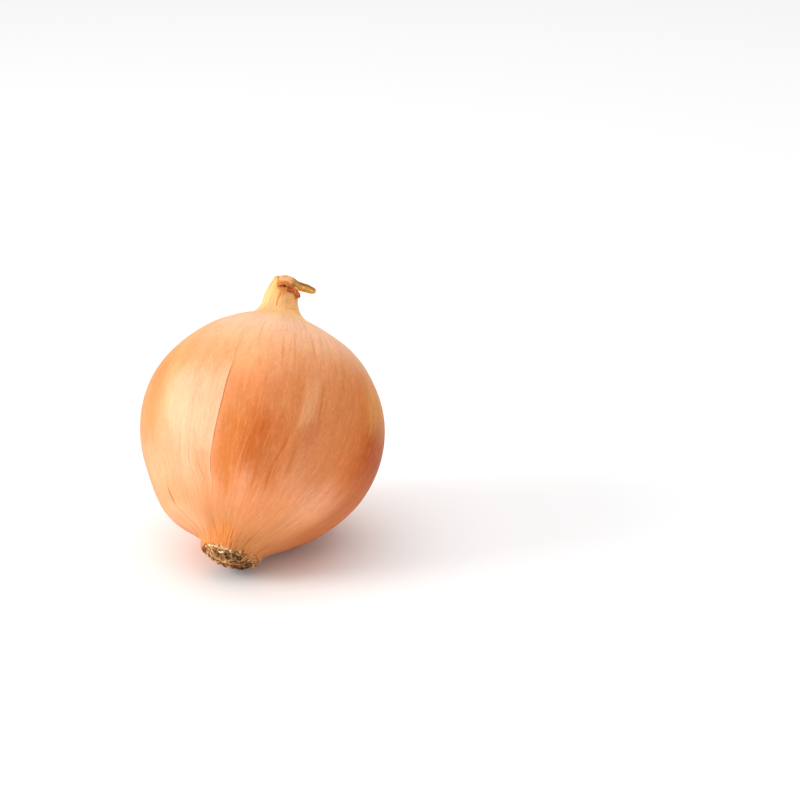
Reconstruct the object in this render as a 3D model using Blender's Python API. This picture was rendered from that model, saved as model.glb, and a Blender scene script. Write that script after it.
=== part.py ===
# Whole brown onion at rest on a small flat spot of its belly, its root end low in front and its neck high behind.
# Row frame: metres, +Z up, the floor is z = 0 and the origin is the middle of the flat spot.
# The bulb's long axis lies in the YZ plane and leans from +Z towards +Y.
# Each piece is modelled about the bulb's own axis: z runs from the root to the neck, 0 at the widest ring.

import math
import random

import bmesh
import bpy
from mathutils import Matrix, Vector

MM = 0.001

# How the onion lies
LEAN = math.radians(43.0)
CENTRE_HEIGHT = 37.0 * MM
CENTRE_ACROSS = 1.7 * MM
CENTRE_BACK = 1.5 * MM

# The bulb
COLUMNS = 76
STEPS_PER_KNOT = 2
ROOT_BEND = (3.2, 16.0, 44.0)
NECK_BEND = (2.9, 24.0, 46.0)
ROOT_TILT = 0.13
FLAT_SPOT_CUTTER = 0.06

# Radius and height of the skin's outline in mm, from the middle of the root hollow to the middle of the neck's mouth
ROOT_HOLLOW = [(0.0, -38.1), (4.6, -38.1), (8.5, -38.3), (8.9, -39.4)]
ROOT_COLLAR = [(9.3, -40.2), (9.9, -39.7), (10.3, -38.5), (11.6, -37.0)]
GLOBE_LOW = [(14.8, -34.9), (20.1, -32.0), (25.1, -28.0), (30.3, -21.5), (34.9, -13.3), (37.4, -4.5)]
GLOBE_HIGH = [(37.6, 4.4), (35.4, 13.1), (30.9, 21.1), (25.0, 27.7), (18.7, 32.1), (13.4, 35.0)]
NECK = [(9.9, 37.1), (7.7, 39.7), (6.2, 42.8), (5.1, 46.0), (4.5, 49.6)]
MOUTH = [(3.9, 50.9), (3.3, 50.1), (3.0, 47.2), (0.0, 46.8)]
OUTLINE = ROOT_HOLLOW + ROOT_COLLAR + GLOBE_LOW + GLOBE_HIGH + NECK + MOUTH

# The outer skin ends in a free edge that runs down the left of the front, over the skin below it
SKIN_EDGE_ANGLE = math.radians(-93.0)
SKIN_EDGE_SWING = math.radians(-3.0)
SKIN_STEP = 0.42
SKIN_EDGE_LOW = -30.0
SKIN_EDGE_HIGH = 40.0
SKIN_EDGE_FADE = 9.0

# Low ridges of the skin: count round the bulb, height in mm and start angle
RIDGES = [(7, 0.16, 0.4), (11, 0.12, 2.1), (18, 0.09, 4.0), (25, 0.07, 1.3)]
NECK_PLEATS = [(5, 0.30, 0.9), (8, 0.22, 3.4)]
NECK_START = 36.0
NECK_FULL = 44.0
MOUTH_TILT = 1.9
MOUTH_HIGH_ANGLE = math.radians(150.0)

# The root plate and its dry root stubs
PLATE_RADIUS = 8.2
PLATE_TAPER = 0.97
PLATE_TOP = -38.5
PLATE_FACE = -40.2
STUB_COUNT = 96
STUB_SIDES = 5
STUB_RADIUS = (0.34, 0.52)
STUB_LENGTH = (1.5, 2.7)
STUB_STEPS = 2
STUB_BEND = (0.08, 0.42)
STUB_SUNK = 1.0
STUB_SEED = 6

# Dry leaf ends in the neck's mouth, measured from the neck's axis in mm
# Each point: across to the right, forward to the front, height along the bulb's axis, half of the width there
LEAF_SIDE = math.radians(15.0)
TIP_PATH = [
    (-0.5, -0.8, 47.9, 1.1), (-0.1, -1.0, 50.2, 1.5), (0.5, -0.8, 52.3, 1.9), (0.7, 0.2, 53.1, 2.0),
    (0.8, 1.5, 52.6, 2.3), (0.8, 2.4, 51.2, 1.7),
]
TIP_THICKNESS = 0.65
TIP_BULGE = 0.5
TIP_ACROSS = (1, 0, 0)
LEAF_PATH = [
    (1.6, -0.9, 48.8, 0.5), (2.1, -1.5, 51.2, 0.8), (3.7, -2.2, 52.5, 1.0), (5.6, -2.0, 52.1, 1.2),
    (7.8, -1.6, 51.5, 1.15), (9.5, -1.2, 51.0, 0.8), (10.4, -1.0, 50.8, 0.35),
]
LEAF_THICKNESS = 0.65
LEAF_BULGE = 0.45
LEAF_ACROSS = (0.2, 0.3, 0.93)

COLOURS = {
    "bulb": ((0.80, 0.36, 0.14, 1.0), 0.38),
    "root_tuft": ((0.30, 0.19, 0.09, 1.0), 0.85),
    "neck_tip": ((0.50, 0.20, 0.07, 1.0), 0.70),
    "dry_leaf": ((0.47, 0.30, 0.09, 1.0), 0.60),
}


def clear_scene():
    for obj in list(bpy.data.objects):
        bpy.data.objects.remove(obj, do_unlink=True)


def new_collection(name):
    collection = bpy.data.collections.new(name)
    bpy.context.scene.collection.children.link(collection)
    return collection


def new_material(name):
    colour, roughness = COLOURS[name]
    material = bpy.data.materials.new(name)
    material.use_nodes = True
    shader = material.node_tree.nodes["Principled BSDF"]
    shader.inputs["Base Color"].default_value = colour
    shader.inputs["Roughness"].default_value = roughness
    shader.inputs["Metallic"].default_value = 0.0
    material.diffuse_color = colour
    return material


def new_object(name, bm, collection, material=None):
    mesh = bpy.data.meshes.new(name)
    bmesh.ops.recalc_face_normals(bm, faces=bm.faces)
    bm.to_mesh(mesh)
    bm.free()
    mesh.shade_smooth()
    mesh.set_sharp_from_angle(angle=math.radians(50.0))
    obj = bpy.data.objects.new(name, mesh)
    collection.objects.link(obj)
    if material:
        mesh.materials.append(material)
    return obj


def smooth_line(points, steps):
    # Catmull-Rom curve through the points, with this many steps from each to the next
    line = []
    for i in range(len(points) - 1):
        before = points[max(i - 1, 0)]
        start, end = points[i], points[i + 1]
        after = points[min(i + 2, len(points) - 1)]
        for k in range(steps):
            t = k / steps
            line.append(tuple(
                0.5 * (2 * b + (c - a) * t + (2 * a - 5 * b + 4 * c - d) * t**2 + (3 * b - a - 3 * c + d) * t**3)
                for a, b, c, d in zip(before, start, end, after)
            ))
    return line + [tuple(points[-1])]


def ramp(value, low, high):
    t = min(max((value - low) / (high - low), 0.0), 1.0)
    return t * t * (3 - 2 * t)


def waves(table, angle, swirl=0.0):
    return sum(height * math.cos(count * angle + start + swirl) for count, height, start in table)


def skin_edge_angle(height):
    return SKIN_EDGE_ANGLE + SKIN_EDGE_SWING * ramp(height, 8.0, SKIN_EDGE_HIGH)


def skin_layer(share, height):
    # How far the outer skin stands above the one below it, share of a turn away from its free edge
    along = ramp(height, SKIN_EDGE_LOW - SKIN_EDGE_FADE, SKIN_EDGE_LOW)
    along *= 1 - ramp(height, SKIN_EDGE_HIGH - SKIN_EDGE_FADE, SKIN_EDGE_HIGH)
    return SKIN_STEP * along * (1 - share) ** 2


def spine_shift(height):
    # Both ends of the bulb bend a little to the left of its middle
    bend, start, full = NECK_BEND if height > 0 else ROOT_BEND
    return -bend * ramp(abs(height), start, full)


def root_tilt(across, height):
    # The root end isn't square to the bulb's axis: its right side reaches lower
    return -ROOT_TILT * across * (1 - ramp(height, -39.0, -31.0))


def bulb_point(share, radius, height):
    # The wall of the free edge is the narrow strip that closes the turn
    angle = skin_edge_angle(height) - 2 * math.pi * share * (1 - 0.004)
    on_neck = ramp(height, NECK_START, NECK_FULL)
    at_ends = min(radius / 12.0, 1.0) if height < 0 else 1.0
    relief = waves(RIDGES, angle) * (1 - on_neck) * at_ends
    relief += waves(NECK_PLEATS, angle) * on_neck * min(radius / 4.0, 1.0)
    out = radius + relief + (skin_layer(share, height) if radius > 0 else 0.0)
    rise = MOUTH_TILT * on_neck * math.cos(angle - MOUTH_HIGH_ANGLE) * min(radius / 3.0, 1.0)
    rise += root_tilt(out * math.cos(angle), height)
    return Vector((
        (out * math.cos(angle) + spine_shift(height)) * MM,
        out * math.sin(angle) * MM,
        (height + rise) * MM,
    ))


def make_bulb(collection, cutters, frame):
    # A ball whose rings are drawn out to the skin's outline, ring by ring
    outline = smooth_line(OUTLINE, STEPS_PER_KNOT)
    rings = len(outline) - 1
    bm = bmesh.new()
    bmesh.ops.create_uvsphere(bm, u_segments=COLUMNS, v_segments=rings, radius=1.0)
    for vert in bm.verts:
        ring = round((1 - math.acos(max(-1.0, min(1.0, vert.co.z))) / math.pi) * rings)
        column = round(math.atan2(vert.co.y, vert.co.x) / (2 * math.pi) * COLUMNS) % COLUMNS
        radius, height = outline[ring]
        vert.co = bulb_point(column / (COLUMNS - 1) if radius > 0 else 0.0, radius, height)
    bulb = new_object("bulb", bm, collection, new_material("bulb"))
    bulb.parent = frame

    bm = bmesh.new()
    bmesh.ops.create_cube(bm, size=FLAT_SPOT_CUTTER)
    cutter = new_object("floor_cutter", bm, cutters)
    cutter.location = (0, 0, -FLAT_SPOT_CUTTER / 2)
    cutter.hide_render = True
    cutter.display_type = "WIRE"
    cut = bulb.modifiers.new("flat_spot", "BOOLEAN")
    cut.operation = "DIFFERENCE"
    cut.object = cutter
    return bulb


def prism_along(bm, path, radii, sides):
    # A closed few-sided tube through the path's points
    rings = []
    for i, point in enumerate(path):
        ahead = path[min(i + 1, len(path) - 1)] - path[max(i - 1, 0)]
        turn = ahead.to_track_quat("Z", "Y").to_matrix()
        rings.append([
            bm.verts.new(point + turn @ Vector((
                radii[i] * math.cos(2 * math.pi * k / sides),
                radii[i] * math.sin(2 * math.pi * k / sides),
                0.0,
            )))
            for k in range(sides)
        ])
    for low, high in zip(rings, rings[1:]):
        for k in range(sides):
            bm.faces.new((low[k], low[(k + 1) % sides], high[(k + 1) % sides], high[k]))
    bm.faces.new(list(reversed(rings[0])))
    bm.faces.new(rings[-1])


def keep_outer_body(mesh):
    # Fusing can seal a small hollow or leave a scrap: each is its own shell, and only the largest shell stays
    bm = bmesh.new()
    bm.from_mesh(mesh)
    shells, seen = [], set()
    for start in bm.faces:
        if start in seen:
            continue
        seen.add(start)
        shell, front = [], [start]
        while front:
            face = front.pop()
            shell.append(face)
            for edge in face.edges:
                for other in edge.link_faces if len(edge.link_faces) == 2 else ():
                    if other not in seen:
                        seen.add(other)
                        front.append(other)
        shells.append(shell)
    shells.sort(key=len)
    for shell in shells[:-1]:
        bmesh.ops.delete(bm, geom=shell, context="FACES")
    bmesh.ops.delete(bm, geom=[v for v in bm.verts if not v.link_faces], context="VERTS")
    bm.to_mesh(mesh)
    bm.free()


def join_into(base, helpers, solver="MANIFOLD"):
    # One union of the base with everything in the helper collection, which is then removed
    union = base.modifiers.new("join", "BOOLEAN")
    union.operation = "UNION"
    union.operand_type = "COLLECTION"
    union.collection = helpers
    union.solver = solver
    bpy.context.view_layer.update()
    graph = bpy.context.evaluated_depsgraph_get()
    joined = bpy.data.meshes.new_from_object(base.evaluated_get(graph))
    base.modifiers.clear()
    keep_outer_body(joined)
    base.data = joined
    for obj in list(helpers.objects):
        bpy.data.objects.remove(obj, do_unlink=True)
    bpy.data.collections.remove(helpers)


def root_frame():
    # Where the root plate sits: moved with the bulb's bend and turned with its tilt
    return (Matrix.Translation((spine_shift(PLATE_FACE) * MM, 0, 0))
            @ Matrix(((1, 0, 0, 0), (0, 1, 0, 0), (-ROOT_TILT, 0, 1, 0), (0, 0, 0, 1))))


def make_root_tuft(collection, frame):
    # The corky plate, with its dry root stubs in a sunflower spiral
    bm = bmesh.new()
    bmesh.ops.create_cone(bm, cap_ends=True, segments=30, depth=(PLATE_TOP - PLATE_FACE) * MM,
                          radius1=PLATE_RADIUS * PLATE_TAPER * MM, radius2=PLATE_RADIUS * MM)
    bmesh.ops.translate(bm, verts=bm.verts, vec=(0, 0, (PLATE_TOP + PLATE_FACE) / 2 * MM))
    bmesh.ops.transform(bm, matrix=root_frame(), verts=bm.verts)
    plate = new_object("root_tuft", bm, collection, new_material("root_tuft"))

    helpers = new_collection("root_stubs")
    draw = random.Random(STUB_SEED)
    golden = math.pi * (3 - math.sqrt(5))
    for i in range(STUB_COUNT):
        spread = math.sqrt((i + 0.5) / STUB_COUNT)
        angle = i * golden + draw.uniform(-0.2, 0.2)
        radius = draw.uniform(*STUB_RADIUS)
        reach = PLATE_RADIUS * PLATE_TAPER - radius - 0.15
        away = Vector((math.cos(angle), math.sin(angle), 0))
        curl = Vector((draw.uniform(-1, 1), draw.uniform(-1, 1), 0))
        step = draw.uniform(*STUB_LENGTH) * (1.0 - 0.25 * spread) / STUB_STEPS
        heading = curl.normalized()
        bend = draw.uniform(*STUB_BEND)
        path = [away * (reach * spread) + Vector((0, 0, PLATE_FACE + STUB_SUNK))]
        path.append(path[0] + Vector((0, 0, -STUB_SUNK)))
        for k in range(1, STUB_STEPS + 1):
            turned = bend * k
            path.append(path[-1] + step * (heading * math.sin(turned) - Vector((0, 0, math.cos(turned)))))
        tip = Vector((path[-1].x, path[-1].y, 0))
        if tip.length > reach:
            path = [point - tip * (1 - reach / tip.length) for point in path]
        radii = [radius * MM] * (len(path) - 1) + [radius * 0.75 * MM]
        bm = bmesh.new()
        prism_along(bm, [point * MM for point in path], radii, STUB_SIDES)
        bmesh.ops.transform(bm, matrix=root_frame(), verts=bm.verts)
        new_object(f"stub_{i}", bm, helpers)
    join_into(plate, helpers)
    plate.parent = frame
    return plate


def blade(bm, path, across, thickness, bulge):
    # A closed curved blade: at each point of the path a rounded cross-section, bowed outwards by the bulge
    rings = []
    for i, (middle, half) in enumerate(path):
        ahead = (path[min(i + 1, len(path) - 1)][0] - path[max(i - 1, 0)][0]).normalized()
        side = (across - ahead * across.dot(ahead)).normalized()
        out = side.cross(ahead)
        ring = []
        for layer in (1, -1):
            for k in range(-2, 3):
                share = layer * k / 2
                bow = bulge * (1 - share * share)
                edge = 0.5 * thickness * (1 - 0.25 * share * share)
                ring.append(bm.verts.new(middle + side * (share * half) + out * (bow + layer * edge)))
        rings.append(ring)
    count = len(rings[0])
    for low, high in zip(rings, rings[1:]):
        for k in range(count):
            bm.faces.new((low[k], low[(k + 1) % count], high[(k + 1) % count], high[k]))
    bm.faces.new(list(reversed(rings[0])))
    bm.faces.new(rings[-1])


def neck_point(across, forward, height):
    turn = Matrix.Rotation(LEAF_SIDE, 3, "Z")
    return (turn @ Vector((across, -forward, height)) + Vector((spine_shift(height), 0, 0))) * MM


def make_neck_piece(name, points, across, thickness, bulge, collection, frame):
    line = smooth_line(points, STEPS_PER_KNOT)
    path = [(neck_point(*point[:3]), point[3] * MM) for point in line]
    bm = bmesh.new()
    blade(bm, path, Matrix.Rotation(LEAF_SIDE, 3, "Z") @ Vector(across), thickness * MM, bulge * MM)
    piece = new_object(name, bm, collection, new_material(name))
    piece.parent = frame
    return piece


def main():
    clear_scene()
    onion = new_collection("onion")
    cutters = new_collection("cutters")
    frame = bpy.data.objects.new("bulb_axis", None)
    onion.objects.link(frame)
    frame.location = (CENTRE_ACROSS, CENTRE_BACK, CENTRE_HEIGHT)
    frame.rotation_euler = (-LEAN, 0, 0)
    make_bulb(onion, cutters, frame)
    make_root_tuft(onion, frame)
    make_neck_piece("neck_tip", TIP_PATH, TIP_ACROSS, TIP_THICKNESS, TIP_BULGE, onion, frame)
    make_neck_piece("dry_leaf", LEAF_PATH, LEAF_ACROSS, LEAF_THICKNESS, LEAF_BULGE, onion, frame)


main()
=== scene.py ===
# Looks of the whole brown onion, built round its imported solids.
# Lengths are in metres; a piece's own shape is worked out in millimetres about the bulb's axis,
# where z runs from the root to the neck and is 0 at the widest ring.

import math
import random

import bpy
import numpy as np
from mathutils import Matrix, Vector, noise


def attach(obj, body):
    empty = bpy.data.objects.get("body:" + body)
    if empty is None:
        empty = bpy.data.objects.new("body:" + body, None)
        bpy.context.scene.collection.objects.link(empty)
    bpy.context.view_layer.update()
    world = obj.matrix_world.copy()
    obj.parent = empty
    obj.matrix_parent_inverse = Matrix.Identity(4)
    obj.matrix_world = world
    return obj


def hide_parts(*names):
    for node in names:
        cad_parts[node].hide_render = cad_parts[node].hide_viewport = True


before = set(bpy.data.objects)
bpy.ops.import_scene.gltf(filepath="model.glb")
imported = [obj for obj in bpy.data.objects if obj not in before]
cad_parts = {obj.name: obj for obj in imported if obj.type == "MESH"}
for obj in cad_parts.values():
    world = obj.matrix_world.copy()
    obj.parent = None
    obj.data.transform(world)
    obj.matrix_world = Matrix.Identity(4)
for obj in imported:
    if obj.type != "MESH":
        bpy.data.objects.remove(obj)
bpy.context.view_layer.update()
print("frame loaded:", sorted(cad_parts))

onion = {
    "lean": 43.0,                          # degrees from upright, towards +Y
    "centre": (0.0017, 0.0015, 0.0370),    # middle of the widest ring
    "rootBend": (3.2, 16.0, 44.0),         # mm to the left, where it starts and where it is full
    "neckBend": (2.9, 24.0, 46.0),
    "rootTilt": 0.13,                      # how much lower the root end is for each mm to the right
    "mouthTurn": 15.0,                     # degrees that the leaf ends are turned to the right
}
lean = Matrix.Rotation(-math.radians(onion["lean"]), 4, "X")
axisFrame = Matrix.Translation(onion["centre"]) @ lean


def ramp(value, low, high):
    t = np.clip((np.asarray(value, float) - low) / (high - low), 0.0, 1.0)
    return t * t * (3 - 2 * t)


def between(value, start, full, fullEnd, end):
    # 1 between full and fullEnd, falling softly to 0 at start and end
    return ramp(value, start, full) * (1 - ramp(value, fullEnd, end))


def hump(value, middle, width):
    return np.exp(-((np.asarray(value, float) - middle) / width) ** 2)


def noiseAt(points, scale, seed):
    # smooth noise in -1 to 1 at each point
    shift = Vector((seed * 17.31, seed * 5.17, seed * 9.73))
    grid = np.asarray(points, float) * scale
    return np.array([noise.noise(Vector(p) + shift) for p in grid])


def shaken(points, scale, seeds, amount):
    # the points moved a little by smooth noise, with one seed for each axis
    return points + np.stack([noiseAt(points, scale, seed) for seed in seeds], axis=1) * amount


def unitRows(rows):
    return rows / (np.linalg.norm(rows, axis=1)[:, None] + 1e-9)


def smoothLine(knots, steps):
    # a smooth curve through the knots
    knots = np.array(knots, float)
    line = []
    for i in range(len(knots) - 1):
        a, b = knots[max(i - 1, 0)], knots[i]
        c, d = knots[i + 1], knots[min(i + 2, len(knots) - 1)]
        for k in range(steps):
            t = k / steps
            line.append(0.5 * (2 * b + (c - a) * t + (2 * a - 5 * b + 4 * c - d) * t**2
                               + (3 * b - a - 3 * c + d) * t**3))
    return np.array(line + [knots[-1]])


def spineShift(height):
    height = np.asarray(height, float)
    neckBend, neckStart, neckFull = onion["neckBend"]
    rootBend, rootStart, rootFull = onion["rootBend"]
    up = -neckBend * ramp(height, neckStart, neckFull)
    down = -rootBend * ramp(-height, rootStart, rootFull)
    return np.where(height > 0, up, down)


def rootSlant(across, height):
    return -onion["rootTilt"] * across * (1 - ramp(height, -39.0, -31.0))


def toWorld(points):
    turned = np.array(axisFrame)
    return (np.asarray(points, float) * 0.001) @ turned[:3, :3].T + turned[:3, 3]


def meshPiece(name, points, faces, material, smoothAngle=40.0, **values):
    # a mesh in place, with one number or one vector kept at each of its points
    mesh = bpy.data.meshes.new(name)
    mesh.from_pydata(points.tolist(), [], faces)
    mesh.validate()
    mesh.update()
    for label, data in values.items():
        data = np.asarray(data, np.float32)
        kind, field = ("FLOAT_VECTOR", "vector") if data.ndim == 2 else ("FLOAT", "value")
        mesh.attributes.new(label, kind, "POINT").data.foreach_set(field, data.ravel())
    mesh.materials.append(material)
    mesh.shade_smooth()
    mesh.set_sharp_from_angle(angle=math.radians(smoothAngle))
    piece = bpy.data.objects.new(name, mesh)
    bpy.context.scene.collection.objects.link(piece)
    return piece


def gridFaces(rows, columns, closed=False, start=0):
    faces = []
    for i in range(rows - 1):
        for k in range(columns if closed else columns - 1):
            a, b = start + i * columns + k, start + i * columns + (k + 1) % columns
            faces.append((a, b, b + columns, a + columns))
    return faces


def newMaterial(name, roughness, specular=0.5, subsurface=0.0):
    material = bpy.data.materials.new(name)
    material.use_nodes = True
    shader = material.node_tree.nodes["Principled BSDF"]
    shader.inputs["Roughness"].default_value = roughness
    shader.inputs["Specular IOR Level"].default_value = specular
    if subsurface:
        shader.inputs["Subsurface Weight"].default_value = subsurface
        shader.inputs["Subsurface Radius"].default_value = (1.0, 0.35, 0.12)
        shader.inputs["Subsurface Scale"].default_value = 0.002
    return material, material.node_tree, shader


def socketValue(tree, socket, value):
    if isinstance(value, bpy.types.NodeSocket):
        tree.links.new(value, socket)
    else:
        socket.default_value = value


def calc(tree, operation, a, b=0.0, c=0.0):
    node = tree.nodes.new("ShaderNodeMath")
    node.operation = operation
    for socket, value in zip(node.inputs, (a, b, c)):
        socketValue(tree, socket, value)
    return node.outputs[0]


def mapped(tree, value, low, high, toLow=0.0, toHigh=1.0):
    node = tree.nodes.new("ShaderNodeMapRange")
    node.interpolation_type = "SMOOTHSTEP"
    for socket, number in zip(node.inputs, (value, low, high, toLow, toHigh)):
        socketValue(tree, socket, number)
    return node.outputs[0]


def within(tree, value, start, full, fullEnd, end):
    # the same as between, in nodes
    rising = mapped(tree, value, start, full)
    return calc(tree, "MULTIPLY", rising, mapped(tree, value, fullEnd, end, 1.0, 0.0))


def mixed(tree, factor, first, second, blend="MIX"):
    node = tree.nodes.new("ShaderNodeMix")
    node.data_type = "RGBA"
    node.blend_type = blend
    socketValue(tree, node.inputs[0], factor)
    socketValue(tree, node.inputs[6], first)
    socketValue(tree, node.inputs[7], second)
    return node.outputs[2]


def colourRamp(tree, factor, stops):
    node = tree.nodes.new("ShaderNodeValToRGB")
    node.color_ramp.interpolation = "B_SPLINE" if len(stops) > 3 else "LINEAR"
    while len(node.color_ramp.elements) < len(stops):
        node.color_ramp.elements.new(0.5)
    for element, (place, colour) in zip(node.color_ramp.elements, stops):
        element.position = place
        element.color = (*colour, 1.0)
    socketValue(tree, node.inputs[0], factor)
    return node.outputs[0]


def kept(tree, label):
    node = tree.nodes.new("ShaderNodeAttribute")
    node.attribute_name = label
    return node


def grain(tree, vector, scale, detail=3.0, stretch=(1.0, 1.0, 1.0), roughness=0.5, distortion=0.0):
    # noise in 0 to 1, stretched along the three directions of the vector
    place = tree.nodes.new("ShaderNodeMapping")
    place.inputs["Scale"].default_value = stretch
    tree.links.new(vector, place.inputs["Vector"])
    node = tree.nodes.new("ShaderNodeTexNoise")
    node.inputs["Scale"].default_value = scale
    node.inputs["Detail"].default_value = detail
    node.inputs["Roughness"].default_value = roughness
    node.inputs["Distortion"].default_value = distortion
    tree.links.new(place.outputs[0], node.inputs["Vector"])
    return node.outputs[0]


def bumped(tree, shader, height, strength, distance):
    node = tree.nodes.new("ShaderNodeBump")
    node.inputs["Strength"].default_value = strength
    node.inputs["Distance"].default_value = distance
    tree.links.new(height, node.inputs["Height"])
    tree.links.new(node.outputs[0], shader.inputs["Normal"])


# the bulb's skin
skinForm = {
    "outline": [  # radius and height, from the middle of the root hollow to the middle of the mouth
        (0.0, -38.1), (4.6, -38.1), (8.5, -38.3), (8.9, -39.4), (9.3, -40.2), (9.9, -39.7),
        (10.3, -38.5), (11.6, -37.0), (14.8, -34.9), (20.1, -32.0), (25.1, -28.0), (30.3, -21.5),
        (34.9, -13.3), (37.4, -4.5), (37.6, 4.4), (35.4, 13.1), (30.9, 21.1), (25.0, 27.7),
        (18.7, 32.1), (13.4, 35.0), (9.9, 37.1), (7.7, 39.7), (6.2, 42.8), (5.1, 46.0),
        (4.5, 49.6), (3.9, 50.9), (3.3, 50.1), (3.0, 47.2), (0.0, 46.8)],
    "stepsPerKnot": 8,
    "outerSteps": (40, -28),     # the steps of the outline that rise from the collar to the mouth
    "columns": 420,
    "columnsAtEdge": (3.0, 13.0),   # how much closer they stand at the free edge, and over how many degrees
    "globeRadius": 37.6,
    "neckFrom": (36.0, 44.0),    # heights between which the globe turns into the neck
    "rimFrom": (48.0, 50.6),
    "hollowRim": (8.4, 9.2),     # radii between which the root hollow turns into the collar
    "ridges": [(7, 0.10, 0.4), (11, 0.05, 2.1), (18, 0.025, 4.0)],   # how many, height, shift in radians
    "pleats": [(5, 0.30, 0.9), (8, 0.22, 3.4)],
    "fineRidges": [(5.0, 0.07, 3), (14.0, 0.022, 5), (30.0, 0.012, 8)],   # how fine, height, seed
    "fineFolds": [(3.2, 0.22, 11), (8.0, 0.13, 12), (17.0, 0.06, 13)],   # the same, on the neck
    "ridgeStretch": 1.6,
    "foldStretch": 4.0,
    "ridgeRadius": 33.0,         # inside it the ridges grow fainter
    "pleatRadius": 4.0,
    "edge": [  # height and angle of the outer skin's free edge
        (-40, -93.0), (-27, -93.8), (-24, -95.5), (-20, -96.3), (-12, -94.2), (-5, -92.8), (2, -92.2),
        (9, -91.9), (18, -93.4), (30, -96.0), (50, -99.0)],
    "edgeSpan": (-33.0, -23.0, 0.0, 22.0),   # heights where it starts, is full, is full and ends
    "edgeStep": 0.06,
    "edgeLift": 0.05,
    "liftWidth": 1.3,            # degrees
    "edgeHollow": 0.07,
    "hollowWidth": 1.5,
    "edgeGap": 0.0004,
    "creases": [  # degrees left of the free edge, depth, lowest and highest end
        (5.0, 0.05, -33, -18), (8.6, 0.05, -34, -14), (13.0, 0.04, -32, -18), (17.5, 0.03, -31, -16)],
    "creaseWidth": 0.75,
    "creaseFade": 6,
    "neckCreases": [  # height on the front, rise per degree, half height, depth, angle, spread
        (40.5, 0.055, 0.30, 0.32, -43.0, 19.0), (44.25, 0.062, 0.25, 0.192, -50.0, 14.0)],
    "frontAngle": -61.0,         # where those heights hold
    "tear": [  # height, angle and half width, from the mouth down
        (50.6, -76.0, 2.3), (48.6, -77.0, 2.0), (46.8, -79.0, 1.5), (44.8, -82.0, 0.65),
        (43.2, -85.0, 0.34), (41.3, -85.0, 0.24), (39.5, -85.0, 0.2)],
    "tearDepth": 0.28,
    "mouthTilt": 1.9,
    "mouthHighAngle": 150.0,
    "mouthTear": 0.34,
    "collarTear": 0.28,
    # how far, at what angle and over how many degrees
    "tuck": (0.9, -185.0, 60.0),         # the left of the mouth leans in
    "waist": (0.75, -175.0, 55.0),       # the left of the neck's foot is drawn in
    "collarIn": (2.5, -180.0, 50.0),     # the left of the root collar is drawn in
    "mouthDrop": (1.8, -78.0, 38.0),     # the front of the mouth is lower
    "collarDrop": (1.5, -165.0, 38.0),   # the left of the root collar is longer
}
edgeLine = smoothLine(skinForm["edge"], 6)


def edgeAngle(height):
    return np.radians(np.interp(height, edgeLine[:, 0], edgeLine[:, 1]))


def waves(table, angle):
    return sum(size * np.cos(count * angle + start) for count, size, start in table)


def dent(name, front):
    # how far the skin gives way at this angle
    depth, middle, spread = skinForm[name]
    return depth * hump(front, middle, spread)


def tearMark(angle, radius, height):
    # 1 in the middle of the torn mark of the neck, 0 away from it
    heights, angles, widths = np.array(skinForm["tear"][::-1]).T
    aside = (angle - np.radians(np.interp(height, heights, angles))) * radius
    aside = (aside + math.pi * radius) % (2 * math.pi * np.maximum(radius, 1e-6)) - math.pi * radius
    along = between(height, heights[0] - 0.5, heights[0] + 0.8, heights[-1], heights[-1] + 1.2)
    return np.exp(-(aside / np.interp(height, heights, widths)) ** 2) * along


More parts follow.
